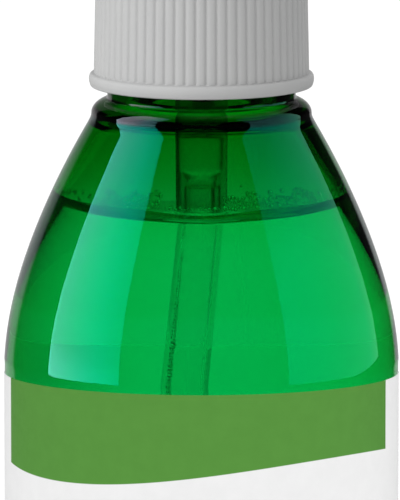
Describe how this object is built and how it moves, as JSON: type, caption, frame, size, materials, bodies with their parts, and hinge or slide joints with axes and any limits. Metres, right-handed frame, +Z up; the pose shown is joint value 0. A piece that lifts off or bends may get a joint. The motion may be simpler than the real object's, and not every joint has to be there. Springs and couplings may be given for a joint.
{
  "type": "mouthwash bottle",
  "caption": "Round green-tinted mouthwash bottle with a wrap label, a white ribbed screw collar carrying a finger spray pump, a dip tube and a clear overcap.",
  "frame": {"origin": "centre of the standing ring under the base", "axes": "+Z up along the bottle's axis, -Y towards the front of the label, +X to the right as seen from the front"},
  "size_m": [0.059, 0.059, 0.1658],
  "materials": {
    "tinted_pet": "clear green-tinted blow-moulded PET, high gloss",
    "label_film": "printed white film label with a green band, satin varnish",
    "mouthwash": "clear green liquid",
    "white_pp": "injection-moulded white polypropylene with a fine mould texture",
    "foam": "closed-cell foam sealing ring",
    "natural_pp": "natural translucent polypropylene",
    "pump_white": "white polypropylene",
    "natural_pe": "natural translucent extruded polyethylene",
    "steel_ball": "polished stainless steel",
    "spring_wire": "drawn stainless spring wire",
    "piston_pe": "natural polyethylene",
    "stem_pom": "white acetal",
    "button_white": "white polypropylene, satin",
    "nozzle_white": "white acetal",
    "clear_pp": "clear polypropylene"
  },
  "bodies": {
    "container": {"bottle": "tinted_pet", "label": "label_film", "mouthwash": "mouthwash"},
    "pump": {"pump_housing": "natural_pp", "pump_retainer": "pump_white", "gasket": "foam", "dip_tube": "natural_pe", "return_spring": "spring_wire"},
    "collar": {"screw_collar": "white_pp"},
    "plunger": {"piston": "piston_pe"},
    "spray_head": {"stem": "stem_pom", "finger_button": "button_white", "nozzle_insert": "nozzle_white"},
    "inlet_valve": {"valve_ball": "steel_ball"},
    "cover": {"overcap": "clear_pp"}
  },
  "joints": [
    {"name": "collar_rise", "type": "slide", "parent": "container", "child": "pump", "axis": [0, 0, 1], "range_m": [0, 0.00635]},
    {"name": "collar_turn", "type": "hinge", "parent": "pump", "child": "collar", "pos_m": [0, 0, 0.13], "axis": [0, 0, 1], "range_deg": [0, 540]},
    {"name": "button_press", "type": "slide", "parent": "pump", "child": "plunger", "axis": [0, 0, -1], "range_m": [0, 0.0045], "stiffness_N_per_m": 900, "springref_m": -0.002, "deforming": ["return_spring"]},
    {"name": "button_swivel", "type": "hinge", "parent": "plunger", "child": "spray_head", "pos_m": [0, 0, 0.14], "axis": [0, 0, 1], "continuous": true},
    {"name": "overcap_lift", "type": "slide", "parent": "collar", "child": "cover", "axis": [0, 0, 1], "range_m": [0, 0.03]},
    {"name": "ball_lift", "type": "slide", "parent": "pump", "child": "inlet_valve", "axis": [0, 0, 1], "range_m": [0, 0.0009]}
  ],
  "couplings": [
    {"joint": "collar_rise", "follows": "collar_turn", "m_per_rad": 0.0006737}
  ]
}
